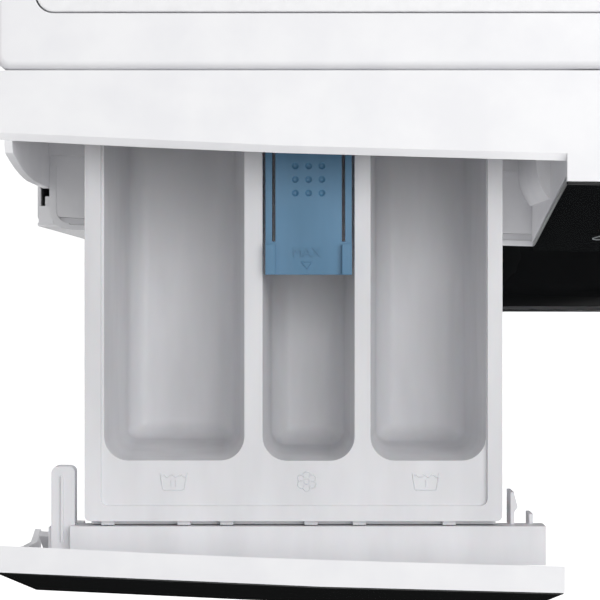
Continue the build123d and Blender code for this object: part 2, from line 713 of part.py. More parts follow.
def suspension_spring(sign):
    """A hanging spring, drawn as a closed sleeve with hooks."""
    x = sign * spring_x
    coil = rod_z(11, 664, 752, x, spring_y) - rod_z(8.4, 660, 748, x, spring_y)
    return coil + rod_z(2.2, 750, cabinet_top_z - 2.3, x, spring_y)


def spring_ear(sign):
    """A lug for a hanging spring on the tub's shoulder."""
    x = sign * spring_x
    lug = block(x - 12, x + 12, spring_y - 3.5, spring_y + 3.5, 540, 663)
    return lug - rod_y(tub_radius - 2, 200, 430)


def damper(sign):
    """A friction damper between the base and the tub."""
    low = (sign * 215.0, 240.0, 70.0)
    high = (sign * 160.0, 240.0, 190.0)
    middle = (sign * 190.0, 240.0, 124.5)
    body = rod_between(low, middle, 13)
    return body + rod_between(middle, high, 5)


def tub_heater():
    """The hairpin heater in the tub's sump, on a flange through the tub's rear wall."""
    bars = None
    for x in (-heater_x, heater_x):
        leg = rod_y(4, 200, tub_rear_y + 6, x, heater_z)
        bars = leg if bars is None else bars + leg
    return bars + block(-heater_x - 4, heater_x + 4, 198, 206, heater_z - 4, heater_z + 4)


def drain_pump():
    """The drain pump and its filter chamber, behind the flap."""
    chamber = ring_y(34, 28, 14.5, 90, pump_x, pump_z) + rod_y(34, 88, 94, pump_x, pump_z)
    motor = rod_y(26, 93, 150, pump_x, pump_z)
    inlet = rod_z(14, 120, 138, 214, 60) - rod_z(11, 112, 140, 214, 60)
    return chamber + motor + inlet


def pump_filter_cap():
    """The screw-in filter cap with its grip bar."""
    cap = rod_y(27.5, 12, 60, pump_x, pump_z) - rod_y(22, 22, 61, pump_x, pump_z)
    cap += rod_y(32, 8, 14, pump_x, pump_z)
    return cap + block(pump_x - 4, pump_x + 4, 3.2, 9, pump_z - 24, pump_z + 24)


def filter_flap():
    """The little flap over the filter, with a hinge barrel and pins along its lower edge."""
    flap = block(pump_x - 39.4, pump_x + 39.4, 0, 2.4, flap_axis_z - 2, pump_z + 39.4)
    flap += block(pump_x - 36, pump_x + 36, 2, flap_axis_y, flap_axis_z - 1.6, flap_axis_z + 1.6)
    barrel_line = (flap_axis_y, flap_axis_z)
    flap += rod_between((pump_x - 36, *barrel_line), (pump_x + 36, *barrel_line), 1.9)
    return flap + rod_between((pump_x - 45, *barrel_line), (pump_x + 45, *barrel_line), 1.5)


def sump_hose():
    """The moulded hose from the tub's sump to the pump."""
    upper = rod_between((120, 180, 164), (190, 110, 150), 17)
    lower = rod_between((190, 110, 150), (214, 60, 141), 17)
    elbow = Pos(190, 110, 150) * Sphere(17)
    end = rod_z(17, 128, 141, 214, 60)
    joint = Pos(214, 60, 141) * Sphere(17)
    hose = upper + elbow + lower + joint + end
    return hose - rod_z(14.2, 120, 140, 214, 60)


def cord_gland():
    """The mains cord's inlet gland in the rear sheet."""
    gland = ring_y(13, 4.5, cabinet_depth + 0.1, cabinet_depth + 5, drain_x, cord_z)
    return gland + ring_y(8.8, 4.5, cabinet_depth - 12, cabinet_depth + 0.3, drain_x, cord_z)


# ---- feet ---------------------------------------------------------------------------------------
def foot(x, y):
    """A levelling foot: a rubber-soled disc and a threaded stud."""
    pad = rod_z(21, 0, 8, x, y)
    pad = fillet(pad.edges().sort_by(Axis.Z)[0], 1.5)
    return pad + rod_z(stud_radius, 7, 66, x, y)


os.makedirs("parts", exist_ok=True)
save("cabinet_side_left", cabinet_side(-1))
save("cabinet_side_right", cabinet_side(1))
save("rear_panel", rear_panel())
save("rear_access_cover", rear_access_cover())
save("cover_screws", cover_screws())
save("base_tray", base_tray())
save("top_rails", Compound(children=[top_rail(360), top_rail(500)]))
save("front_panel", front_panel())
save("worktop_frame", worktop_frame())
save("worktop_inset", worktop_inset())
save("control_panel_housing", control_panel_housing())
save("control_panel_glass", control_panel_glass())
save("program_knob", program_knob())
save("power_button", push_button(power_x))
save("start_button", push_button(start_x))
save("control_board", control_board())
save("drawer_box", drawer_box())
save("softener_siphon_cap", siphon_cap())
save("drawer_front_shell", drawer_front_shell())
save("drawer_fascia", drawer_fascia())
save("drawer_inner_cover", drawer_inner_cover())
save("dispenser_housing", dispenser_housing())
save("dispenser_hose", dispenser_hose())
save("inlet_valve", inlet_valve())
save("door_ring_outer", door_ring_outer())
save("door_cover_glass", door_cover_glass())
save("door_ring_inner", door_ring_inner())
save("door_glass_bowl", door_glass_bowl())
save("door_hinge_bracket", door_hinge_bracket())
save("door_hinge_arm", door_hinge_arm())
save("door_hinge_pin", door_hinge_pin())
save("door_latch_hook", door_latch_hook())
save("door_lock", door_lock())
save("door_gasket", door_gasket())
save("tub_front", tub_half(True))
save("tub_rear", tub_half(False))
save("drum_shell", drum_shell())
save("drum_back", drum_back())
save("drum_lifters", drum_lifters())
save("drum_spider", drum_spider())
save("drum_shaft", drum_shaft())
save("drum_bearings", drum_bearings())
save("shaft_seal", shaft_seal())
save("motor_stator", stator())
save("motor_rotor", rotor())
save("rotor_bolt", rotor_bolt())
save("counterweight_front", counterweight_front())
save("counterweight_top", counterweight_top())
save("tub_heater", tub_heater())
save("drain_pump", drain_pump())
save("pump_filter_cap", pump_filter_cap())
save("filter_flap", filter_flap())
save("sump_hose", sump_hose())
save("cord_gland", cord_gland())
save("tub_springs", Compound(children=[suspension_spring(-1), suspension_spring(1)]))
save("tub_dampers", Compound(children=[damper(-1), damper(1)]))
for y_name, y in (("front", foot_front_y), ("rear", foot_rear_y)):
    for x_name, x in (("left", -foot_x), ("right", foot_x)):
        save(f"foot_{y_name}_{x_name}", foot(x, y))
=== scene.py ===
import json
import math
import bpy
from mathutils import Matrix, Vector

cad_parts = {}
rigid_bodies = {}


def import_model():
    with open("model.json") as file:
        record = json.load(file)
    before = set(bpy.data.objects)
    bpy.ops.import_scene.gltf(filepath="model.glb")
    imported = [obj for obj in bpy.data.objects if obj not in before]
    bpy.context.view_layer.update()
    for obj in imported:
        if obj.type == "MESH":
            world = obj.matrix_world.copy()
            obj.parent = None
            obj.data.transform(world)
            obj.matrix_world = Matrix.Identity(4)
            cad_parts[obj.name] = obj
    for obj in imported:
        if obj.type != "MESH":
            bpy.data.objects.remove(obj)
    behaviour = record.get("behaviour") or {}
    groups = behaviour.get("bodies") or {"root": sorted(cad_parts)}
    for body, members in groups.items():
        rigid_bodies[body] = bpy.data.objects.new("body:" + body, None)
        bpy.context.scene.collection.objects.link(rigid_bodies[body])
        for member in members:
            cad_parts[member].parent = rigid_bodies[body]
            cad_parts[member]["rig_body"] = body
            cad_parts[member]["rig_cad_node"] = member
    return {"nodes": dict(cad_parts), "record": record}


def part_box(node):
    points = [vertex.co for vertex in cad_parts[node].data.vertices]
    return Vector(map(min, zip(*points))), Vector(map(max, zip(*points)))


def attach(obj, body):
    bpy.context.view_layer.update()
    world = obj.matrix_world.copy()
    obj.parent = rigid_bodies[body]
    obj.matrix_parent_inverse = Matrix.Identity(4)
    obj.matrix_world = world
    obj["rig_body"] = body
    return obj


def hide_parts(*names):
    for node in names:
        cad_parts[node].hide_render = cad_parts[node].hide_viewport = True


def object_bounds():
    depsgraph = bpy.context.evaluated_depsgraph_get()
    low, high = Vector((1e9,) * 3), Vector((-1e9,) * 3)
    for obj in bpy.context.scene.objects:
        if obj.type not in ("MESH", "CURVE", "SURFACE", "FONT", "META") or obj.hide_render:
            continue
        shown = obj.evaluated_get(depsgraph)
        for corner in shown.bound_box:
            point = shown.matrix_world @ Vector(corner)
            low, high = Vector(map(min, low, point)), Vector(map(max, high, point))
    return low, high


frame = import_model()

# %% [markdown]
# A front load washing machine, seen from straight above its open detergent drawer.
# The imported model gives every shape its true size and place. This lesson adds what a bench
# model lacks: softened mould edges, printed signs, pierced steel, and finishes that react to
# light the way enamel, ABS, polypropylene, steel, glass and rubber do.
# All lengths are written in millimetres and turned into metres by one constant.

MM = 0.001
cad_low, cad_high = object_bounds()
nodes = frame["nodes"]
bpy.ops.object.select_all(action="DESELECT")
print("frame:", len(nodes), "nodes, size", [round(b - a, 4) for a, b in zip(cad_low, cad_high)])

# %% [markdown]
# ## Camera
# The machine is looked at from straight above, three quarters of a metre over the worktop, with
# a long lens. A long lens keeps the drawer's walls nearly parallel, as the eye of a person
# leaning over the machine would see them. The camera's place is worked out from the drawer.

# %% Camera above the open drawer
drawer_low, drawer_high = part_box("drawer_fascia")
top_z = cad_high[2]
lens_x = (drawer_low[0] + drawer_high[0]) / 2 + 6.9 * MM
lens_y = drawer_high[1] + 92.0 * MM
lens_height = 750 * MM
bpy.ops.object.camera_add(location=(lens_x, lens_y, top_z + lens_height), rotation=(0, 0, 0))
camera = bpy.context.object
camera.name = "camera"
camera.data.sensor_width = 36.0
camera.data.lens = 130.5
camera.data.clip_end = 20.0
bpy.context.scene.camera = camera
print("camera at", [round(v, 4) for v in camera.location])

# %% [markdown]
# ## Light and floor
# A pale studio: a white sky, a strong softbox high on the right, which leaves the right walls of
# the drawer's pockets in shade, a weak one overhead, one low in front, which lights the upright
# front sheet as brightly as the top, and a weak one behind. The sky is dark straight below and the
# floor isn't mirrored, because a gloss black face that leans back mirrors whatever is below it,
# and a white floor there would turn the black to grey.

# %% Surround, softboxes and floor
world = bpy.data.worlds.new("studio")
bpy.context.scene.world = world
world.use_nodes = True
sky = world.node_tree
sky_way = sky.nodes.new("ShaderNodeTexCoord")
sky_parts = sky.nodes.new("ShaderNodeSeparateXYZ")
sky_ramp = sky.nodes.new("ShaderNodeValToRGB")
sky.links.new(sky_way.outputs["Generated"], sky_parts.inputs["Vector"])
sky_level = sky.nodes.new("ShaderNodeMapRange")
sky_level.inputs["From Min"].default_value = -0.6
sky_level.inputs["From Max"].default_value = -0.35
sky.links.new(sky_parts.outputs["Z"], sky_level.inputs["Value"])
sky.links.new(sky_level.outputs["Result"], sky_ramp.inputs["Fac"])
sky.links.new(sky_ramp.outputs["Color"], sky.nodes["Background"].inputs["Color"])
sky_ramp.color_ramp.elements[0].color = (0.02, 0.02, 0.02, 1.0)
sky_ramp.color_ramp.elements[1].color = (1.0, 1.0, 1.0, 1.0)
sky.nodes["Background"].inputs["Strength"].default_value = 0.34
bpy.context.scene.view_settings.view_transform = "Standard"


def softbox(name, place, aim, size, power):
    """A square area light at a place, turned to face a point."""
    bpy.ops.object.light_add(type="AREA", location=place)
    lamp = bpy.context.object
    lamp.name = name
    lamp.data.size = size
    lamp.data.energy = power
    lamp.rotation_euler = (Vector(aim) - Vector(place)).to_track_quat("-Z", "Y").to_euler()
    return lamp


drawer_middle = (lens_x, lens_y, top_z)
softbox("softbox_right", (lens_x + 0.9, lens_y + 0.4, 2.4), drawer_middle, 1.3, 17.0)
softbox("softbox_top", (lens_x, lens_y + 0.2, 2.5), drawer_middle, 1.0, 5.0)
softbox("softbox_front", (0.2, -2.5, 0.9), (0, 0, 0.5), 1.6, 25.0)
softbox("softbox_back", (-0.8, 2.6, 1.9), (0, 0, 0.5), 1.6, 12.0)

bpy.ops.mesh.primitive_plane_add(size=60.0, location=(0, 0, cad_low[2]))
floor = bpy.context.object
floor.name = "floor"
floor.visible_glossy = False

# %% [markdown]
# ## Small helpers for materials
# A colour is written as the hex value that a paint chart would give, and one function turns it
# into the linear numbers that the renderer wants. One function adds a node with its settings,
# its values and its links. Nearly every real surface drifts a little in colour and in gloss and
# has some relief, so one function lays all three over a material, each with its real size.

# %% Colour and node helpers
def colour(code):
    """A linear RGBA colour from an sRGB hex value."""
    parts = [int(code[i:i + 2], 16) / 255 for i in (1, 3, 5)]
    return [c / 12.92 if c <= 0.04045 else ((c + 0.055) / 1.055) ** 2.4 for c in parts] + [1.0]


def add(tree, kind, links=None, values=None, feeds=None, **settings):
    """Adds one node, sets its settings and values, joins its inputs and feeds its outputs on."""
    made = tree.nodes.new(kind)
    for key, value in settings.items():
        setattr(made, key, value)
    for key, value in (values or {}).items():
        made.inputs[key].default_value = value
    for key, socket in (links or {}).items():
        tree.links.new(socket, made.inputs[key])
    for key, socket in (feeds or {}).items():
        tree.links.new(made.outputs[key], socket)
    return made


def start(name, base, roughness, **constants):
    """A new material, and Object coordinates in metres."""
    made = bpy.data.materials.new(name)
    made.use_nodes = True
    shader = made.node_tree.nodes["Principled BSDF"]
    shader.inputs["Base Color"].default_value = colour(base)
    shader.inputs["Roughness"].default_value = roughness
    for key, value in constants.items():
        shader.inputs[key.replace("_", " ")].default_value = value
    return made, add(made.node_tree, "ShaderNodeTexCoord").outputs["Object"]


def patterned(made, place, mottle=None, gloss=None, relief=None):
    """Drives colour, roughness and relief by patterns.

    mottle is (pattern, one colour, other colour), gloss is (pattern, low, high roughness) and
    relief is (pattern, depth in mm, strength). A pattern is a socket, or the size of a noise's
    patches in mm and its detail.
    """
    tree = made.node_tree
    shader = tree.nodes["Principled BSDF"]

    def value(pattern):
        if not isinstance(pattern, tuple):
            return pattern
        size_mm, detail = pattern
        return add(tree, "ShaderNodeTexNoise", {"Vector": place},
                   {"Scale": 1 / (size_mm * MM), "Detail": detail}).outputs["Fac"]

    if mottle:
        pattern, *codes = mottle
        ramp = add(tree, "ShaderNodeValToRGB", {"Fac": value(pattern)},
                   feeds={"Color": shader.inputs["Base Color"]})
        for stop, position, code in zip(ramp.color_ramp.elements, (0.35, 0.65), codes):
            stop.position = position
            stop.color = colour(code)
    if gloss:
        pattern, low, high = gloss
        add(tree, "ShaderNodeMapRange", {"Value": value(pattern)},
            {"From Min": 0.3, "From Max": 0.7, "To Min": low, "To Max": high},
            {"Result": shader.inputs["Roughness"]})
    if relief:
        pattern, depth_mm, strength = relief
        add(tree, "ShaderNodeBump", {"Height": value(pattern)},
            {"Distance": depth_mm * MM, "Strength": strength}, {"Normal": shader.inputs["Normal"]})
    return made


def stretched(made, place, scale, size_mm, detail):
    """A noise drawn out along one axis, for the flow of a melt, a wiped face or a brushed one."""
    tree = made.node_tree
    lines = add(tree, "ShaderNodeMapping", {"Vector": place}, {"Scale": scale}).outputs["Vector"]
    return add(tree, "ShaderNodeTexNoise", {"Vector": lines},
               {"Scale": 1 / (size_mm * MM), "Detail": detail}).outputs["Fac"]


# %% [markdown]
# ## Painted steel and white mouldings
# The cabinet is zinc-coated sheet with a baked powder enamel: bright white, half gloss, with a
# faint orange peel a few millimetres across. The worktop border and the panel are moulded in
# white ABS with a very fine spark-eroded grain. The board on top is chipboard under a white
# melamine sheet, whose faint mottle shows only as a change of gloss.

# %% Enamel, ABS and melamine
def powder_enamel():
    made, place = start("powder_enamel", "#f1f1f3", 0.3, IOR=1.52, Coat_Weight=0.25, Coat_Roughness=0.12)
    return patterned(made, place, gloss=((60.0, 2.0), 0.29, 0.31), relief=((3.5, 1.0), 0.02, 0.5))


def moulded_abs(name, first, second, roughness, grain_mm=0.6, depth_mm=0.012):
    made, place = start(name, first, roughness, IOR=1.53)
    return patterned(made, place, mottle=((18.0, 3.0), first, second),
                     gloss=((35.0, 2.0), roughness - 0.04, roughness + 0.05),
                     relief=((grain_mm, 1.0), depth_mm, 0.6))


def melamine():
    made, place = start("melamine_laminate", "#f3f3f5", 0.36, IOR=1.55)
    return patterned(made, place, mottle=((5.0, 4.0), "#f0f0f2", "#f6f6f8"), gloss=((5.0, 4.0), 0.3, 0.42),
                     relief=((1.2, 2.0), 0.01, 0.5))


finish_of = {}
finish_of["white_enamel"] = powder_enamel()
finish_of["white_plastic"] = moulded_abs("white_abs", "#f4f4f6", "#efeff2", 0.34)
finish_of["worktop_laminate"] = melamine()
print("finishes:", sorted(finish_of))

# %% [markdown]
# ## Detergent drawer plastics
# The drawer and its housing are injection moulded polypropylene, which is softer and waxier than
# ABS: light scatters a little way into it, its gloss is low, and its colour drifts faintly along
# the flow of the melt. The siphon cap is the same plastic with a blue pigment.

# %% Polypropylene
def polypropylene(name, first, second, roughness, depth_mm=0.015):
    made, place = start(name, first, roughness, IOR=1.49, Subsurface_Weight=0.08, Subsurface_Scale=0.002)
    flow = stretched(made, place, (1.0, 0.25, 1.0), 14.0, 3.0)
    return patterned(made, place, mottle=(flow, first, second),
                     gloss=((22.0, 2.0), roughness - 0.05, roughness + 0.06),
                     relief=((0.7, 2.0), depth_mm, 0.6))


finish_of["drawer_plastic"] = polypropylene("white_polypropylene", "#e4e4e7", "#dcdcdf", 0.42)
finish_of["grey_plastic"] = polypropylene("grey_polypropylene", "#c9c8ca", "#bfbec0", 0.46)
finish_of["blue_plastic"] = polypropylene("blue_polypropylene", "#5683a4", "#4d7998", 0.44)
finish_of["tub_polypropylene"] = polypropylene("glass_filled_polypropylene", "#d9dad6", "#c6c8c3", 0.55,
                                                0.04)
finish_of["black_plastic"] = polypropylene("black_polypropylene", "#1a1b1c", "#141516", 0.5, 0.03)
print("finishes:", len(finish_of))

# %% [markdown]
# ## Black face, black ring and glass
# The control face is a gloss black acrylic film on ABS: nearly a mirror, with the faint unevenness
# of a wiped surface. The door's ring is black ABS with a little less gloss, and its cover is
# smoke-tinted glass. The bowl behind it is clear pressed glass.

# %% Gloss blacks and glasses
def gloss_black(name, base, roughness, coat, mirror):
    made, place = start(name, base, roughness, IOR=1.5, Coat_Weight=coat, Coat_Roughness=0.03,
                        Specular_IOR_Level=mirror)
    wiped = stretched(made, place, (1.0, 1.0, 4.0), 40.0, 4.0)
    return patterned(made, place, gloss=(wiped, roughness - 0.03, roughness + 0.05),
                     relief=((90.0, 1.0), 0.05, 0.25))


def tinted_glass():
    made, place = start("smoke_tinted_glass", "#1b1d20", 0.03, IOR=1.52, Transmission_Weight=0.55,
                        Coat_Weight=0.5, Coat_Roughness=0.02)
    return patterned(made, place, gloss=((70.0, 3.0), 0.02, 0.06))


def pressed_glass():
    made, place = start("pressed_clear_glass", "#e8f0ee", 0.02, IOR=1.52, Transmission_Weight=1.0)
    return patterned(made, place, gloss=((50.0, 2.0), 0.01, 0.04), relief=((45.0, 1.0), 0.4, 0.3))


finish_of["black_panel"] = gloss_black("gloss_black_acrylic", "#101213", 0.12, 0.2, 0.2)
finish_of["black_abs"] = gloss_black("black_abs", "#050607", 0.24, 0.0, 0.06)
finish_of["tinted_glass"] = tinted_glass()
finish_of["clear_glass"] = pressed_glass()
print("finishes:", len(finish_of))

# %% [markdown]
# ## Metals
# Rear sheet and rails are galvanised, with a zinc spangle of crystals about a centimetre across.
# The drum is stainless steel, brushed round its axis and pierced by small holes in staggered
# rows. The holes are not cut: they are painted near black, as painted shade for the dark seen
# through them. Turned steel parts carry fine circular tool marks, and the hub is cast aluminium
# with a sandy skin.

# %% Galvanised, turned and cast metal
def galvanised():
    made, place = start("galvanised_steel", "#b4b7b9", 0.42, Metallic=1.0)
    tree = made.node_tree
    cells = add(tree, "ShaderNodeTexVoronoi", {"Vector": place}, {"Scale": 1 / (9.0 * MM)})
    tone = add(tree, "ShaderNodeSeparateColor", {"Color": cells.outputs["Color"]}).outputs["Red"]
    return patterned(made, place, mottle=(tone, "#b1b4b6", "#bbbec0"), gloss=(tone, 0.39, 0.45),
                     relief=((1.0, 2.0), 0.01, 0.4))


def brushed(name, base, roughness, stretch):
    made, place = start(name, base, roughness, Metallic=1.0)
    streak = stretched(made, place, stretch, 0.9, 3.0)
    return patterned(made, place, gloss=(streak, roughness - 0.03, roughness + 0.04),
                     relief=(streak, 0.003, 0.5))


def cast_aluminium():
    made, place = start("cast_aluminium", "#b5b6b8", 0.5, Metallic=1.0)
    return patterned(made, place, gloss=((6.0, 4.0), 0.42, 0.62), relief=((1.1, 3.0), 0.06, 0.6))


finish_of["galvanised_steel"] = galvanised()
finish_of["machined_steel"] = brushed("turned_steel", "#aeb0b2", 0.3, (1.0, 1.0, 0.08))
finish_of["cast_aluminium"] = cast_aluminium()
print("finishes:", len(finish_of))

# %% Stainless steel with painted holes
holes_round_drum = 108
hole_pitch_mm = 14.0


def pierced_steel():
    """Brushed stainless with staggered rows of 3 mm holes round the drum and along it. The holes are
    not cut: they are painted near black, as painted shade for the dark seen through them.
    """
    steel = "#c4c5c6"
    made = brushed("stainless_steel_painted_holes", steel, 0.26, (0.06, 1.0, 0.06))
    tree = made.node_tree
    shader = tree.nodes["Principled BSDF"]
    drum_low, drum_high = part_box("drum_shell")
    place = add(tree, "ShaderNodeTexCoord").outputs["Object"]
    local = add(tree, "ShaderNodeVectorMath", {0: place},
                {1: (0.0, 0.0, (drum_low[2] + drum_high[2]) / 2)}, operation="SUBTRACT")
    axes = add(tree, "ShaderNodeSeparateXYZ", {"Vector": local.outputs["Vector"]}).outputs
    angle = add(tree, "ShaderNodeMath", {0: axes["X"], 1: axes["Z"]}, operation="ARCTAN2").outputs[0]
    steps = add(tree, "ShaderNodeMath", {0: angle}, {1: holes_round_drum / (2 * math.pi)},
                operation="MULTIPLY").outputs[0]
    along = add(tree, "ShaderNodeMath", {0: axes["Y"]}, {1: 1 / (hole_pitch_mm * MM)},
                operation="MULTIPLY").outputs[0]
    row = add(tree, "ShaderNodeMath", {0: along}, operation="FLOOR").outputs[0]
    shift = add(tree, "ShaderNodeMath", {0: row}, {1: 0.5}, operation="MULTIPLY").outputs[0]
    around = add(tree, "ShaderNodeMath", {0: steps, 1: shift}, operation="ADD").outputs[0]
    cells = []
    for value in (around, along):
        part = add(tree, "ShaderNodeMath", {0: value}, operation="FRACT").outputs[0]
        cells.append(add(tree, "ShaderNodeMath", {0: part}, {1: 0.5}, operation="SUBTRACT").outputs[0])
    spot = add(tree, "ShaderNodeCombineXYZ", {"X": cells[0], "Y": cells[1]}).outputs["Vector"]
    reach = add(tree, "ShaderNodeVectorMath", {0: spot}, operation="LENGTH").outputs["Value"]
    sheet = add(tree, "ShaderNodeMapRange", {"Value": reach},
                {"From Min": 0.1, "From Max": 0.14, "To Min": 0.0, "To Max": 1.0}).outputs["Result"]
    # Painted shade: each hole is painted near black (#0c0c0d) for the dark seen through it.
    add(tree, "ShaderNodeMix", {"Factor": sheet}, {6: colour("#0c0c0d"), 7: colour(steel)},
        {2: shader.inputs["Base Color"]}, data_type="RGBA")
    rim = add(tree, "ShaderNodeMapRange", {"Value": reach},
              {"From Min": 0.1, "From Max": 0.24, "To Min": 0.0, "To Max": 1.0}).outputs["Result"]
    return patterned(made, place, relief=(rim, 0.6, 0.8))


finish_of["stainless_steel"] = pierced_steel()
print("holes round the drum:", holes_round_drum)

# %% [markdown]
# ## Rubbers, concrete, copper and circuit board
# EPDM door bellows are grey and velvety, because a mould release bloom dulls them. Hoses and
# soles are black rubber. The ballast is cast concrete with pores and pale aggregate, the motor's
# coils are enamelled copper, and the board is glass-fibre laminate under green resist.

# %% Rubber, concrete, copper and laminate
def rubber(name, first, second, roughness):
    made, place = start(name, first, roughness, IOR=1.5, Sheen_Weight=0.15, Sheen_Roughness=0.5)
    return patterned(made, place, mottle=((12.0, 4.0), first, second), relief=((0.5, 2.0), 0.02, 0.6))


def cast_concrete():
    made, place = start("cast_concrete", "#8e8b86", 0.9, IOR=1.5)
    tree = made.node_tree
    cells = add(tree, "ShaderNodeTexVoronoi", {"Vector": place}, {"Scale": 1 / (6.0 * MM)})
    pores = add(tree, "ShaderNodeMapRange", {"Value": cells.outputs["Distance"]},
                {"From Min": 0.3, "From Max": 0.7, "To Min": 0.0, "To Max": 1.0}).outputs["Result"]
    return patterned(made, place, mottle=((9.0, 6.0), "#7d7a75", "#a19e98"), relief=(pores, 0.7, 0.7))


def copper_wire():
    made, place = start("enamelled_copper", "#9c5a2e", 0.3, Metallic=1.0)
    winds = add(made.node_tree, "ShaderNodeTexWave", {"Vector": place}, {"Scale": 1 / (4.0 * MM)},
                bands_direction="Y").outputs["Fac"]
    return patterned(made, place, gloss=((5.0, 2.0), 0.24, 0.38), relief=(winds, 0.4, 0.8))


def solder_resist():
    made, place = start("green_solder_resist", "#1d5a35", 0.3, IOR=1.55)
    tracks = add(made.node_tree, "ShaderNodeTexVoronoi", {"Vector": place}, {"Scale": 1 / (7.0 * MM)},
                 distance="MANHATTAN").outputs["Distance"]
    return patterned(made, place, mottle=(tracks, "#2b7748", "#1a5030"))


finish_of["grey_epdm"] = rubber("grey_epdm", "#6c6e72", "#626468", 0.62)
finish_of["black_rubber"] = rubber("black_rubber", "#17181a", "#101113", 0.7)
finish_of["concrete"] = cast_concrete()
finish_of["copper_winding"] = copper_wire()
finish_of["circuit_board"] = solder_resist()
finish_of["knob_satin"] = moulded_abs("satin_silver_abs", "#c3c4c6", "#b9babd", 0.28, 0.5, 0.01)

studio_floor, place = start("studio_floor", "#ffffff", 0.9, Emission_Color=colour("#ffffff"),
                            Emission_Strength=0.55)
patterned(studio_floor, place, relief=((25.0, 2.0), 0.05, 0.2))
floor.data.materials.append(studio_floor)
print("finishes:", len(finish_of))

# %% [markdown]
# ## Finishes on the bench model
# Every node of the bench model names a finish in its record. The same slot names pick the
# finished materials, so a stainless node is stainless in both.

# %% Give each node its finish
slot_of = {row["node"]: row["material_slot"] for row in frame["record"]["subparts"]}
for name, obj in nodes.items():
    obj.data.materials.clear()
    obj.data.materials.append(finish_of[slot_of[name]])
print("nodes finished:", len(nodes))

# %% [markdown]
# ## Softened edges
# No moulded or pressed edge is a knife edge. A bench model's mesh is a set of loose triangles, so
# each visible piece is copied, its triangles are joined and its flat faces merged, and a bevel as
# wide as the real edge radius is applied. The rounded edge then catches the light in a thin line,
# which is what makes plastic and sheet metal look real. Weighted normals keep the large faces
# beside the narrow bevels flat.

# %% Copy a node and soften it
def only(obj):
    """Selects one object alone and makes it active."""
    bpy.ops.object.select_all(action="DESELECT")
    obj.select_set(True)
    bpy.context.view_layer.objects.active = obj


def softened(node, body, radius_mm, name=None, segments=2):
    """A copy of a node with joined faces and rounded edges, which stands for the node."""
    only(nodes[node])
    bpy.ops.object.duplicate()
    piece = bpy.context.object
    piece.name = name or node + "_finished"
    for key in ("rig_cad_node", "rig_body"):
        if key in piece:
            del piece[key]
    piece.parent = None
    bpy.ops.object.mode_set(mode="EDIT")
    bpy.ops.mesh.select_all(action="SELECT")
    bpy.ops.mesh.remove_doubles(threshold=0.01 * MM)
    bpy.ops.mesh.dissolve_limited(angle_limit=math.radians(0.6))
    bpy.ops.object.mode_set(mode="OBJECT")
    bevel = piece.modifiers.new("edge", "BEVEL")
    bevel.width = radius_mm * MM
    bevel.segments = segments
    bevel.limit_method = "ANGLE"
    bevel.angle_limit = math.radians(35)
    bevel.harden_normals = False
    bpy.ops.object.modifier_apply(modifier="edge")
    bpy.ops.object.shade_smooth_by_angle(angle=math.radians(32))
    flat = piece.modifiers.new("flat_faces", "WEIGHTED_NORMAL")
    flat.weight = 90
    flat.keep_sharp = True
    bpy.ops.object.modifier_apply(modifier="flat_faces")
    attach(piece, body)
    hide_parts(node)
    return piece


soften_mm = {
    "cabinet": {"control_panel_housing": 0.4, "worktop_frame": 0.6, "worktop_inset": 0.8,
                "dispenser_housing": 0.5, "front_panel": 0.5, "control_panel_glass": 0.5,
                "rear_access_cover": 0.8, "rear_panel": 0.3, "door_gasket": 1.2,
                "cabinet_side_left": 0.5, "cabinet_side_right": 0.5, "base_tray": 0.8,
                "cord_gland": 0.5, "door_hinge_bracket": 0.35, "cover_screws": 0.4,
                "counterweight_top": 4.0, "counterweight_front": 3.0, "top_rails": 0.3,
                "door_lock": 0.6, "control_board": 0.3, "drain_pump": 0.6},
    "drawer": {"drawer_box": 0.6, "drawer_front_shell": 0.5, "drawer_fascia": 0.5,
               "drawer_inner_cover": 0.5},
    "siphon_cap": {"softener_siphon_cap": 0.35},
    "door": {"door_ring_outer": 0.8, "door_cover_glass": 0.6, "door_ring_inner": 0.5,
             "door_hinge_arm": 0.5, "door_glass_bowl": 0.6},
    "latch": {"door_latch_hook": 0.4},
    "drum": {"drum_lifters": 1.0, "drum_spider": 0.8, "motor_rotor": 0.8},
    "flap": {"filter_flap": 0.5},
    "filter": {"pump_filter_cap": 0.6},
    "power_key": {"power_button": 0.3},
    "start_key": {"start_button": 0.3},
    "foot_fl": {"foot_front_left": 0.5},
    "foot_fr": {"foot_front_right": 0.5},
    "foot_rl": {"foot_rear_left": 0.5},
    "foot_rr": {"foot_rear_right": 0.5},
}
for body, group in soften_mm.items():
    for node, radius in group.items():
        softened(node, body, radius)
print("softened:", sum(len(g) for g in soften_mm.values()), "pieces")

# %% [markdown]
# ## Raised signs on the drawer
# The mould of the drawer carries small raised signs in its front ledge: a washtub with two bars
# for the main wash, a flower for the softener and a washtub with one bar for the prewash. Each is
# drawn as open lines, which are given a round section, made a mesh and set half sunk into the
# ledge, so that light catches them as it does a moulded bead.

# %% Lines drawn on a surface
def drawn(name, strokes, width_mm, lay, body, finish):
    """Beads along lists of (across, up) millimetres, placed on a surface by a matrix."""
    line = bpy.data.curves.new(name, "CURVE")
    line.dimensions = "3D"
    line.bevel_depth = width_mm / 2 * MM
    line.bevel_resolution = 2
    line.use_fill_caps = True
    for stroke in strokes:
        run = line.splines.new("POLY")
        run.points.add(len(stroke) - 1)
        for point, (across, up) in zip(run.points, stroke):
            point.co = (across * MM, up * MM, 0.0, 1.0)
    bead = bpy.data.objects.new(name, line)
    bpy.context.scene.collection.objects.link(bead)
    return placed(bead, lay, body, finish)


def placed(piece, lay, body, finish):
    """Makes a curve or text a mesh, bakes its place into it, and gives it a body and a finish."""
    only(piece)
    bpy.ops.object.convert(target="MESH")
    piece = bpy.context.object
    piece.matrix_world = lay
    bpy.ops.object.transform_apply(location=True, rotation=True, scale=True)
    piece.data.materials.clear()
    piece.data.materials.append(finish)
    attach(piece, body)
    return piece


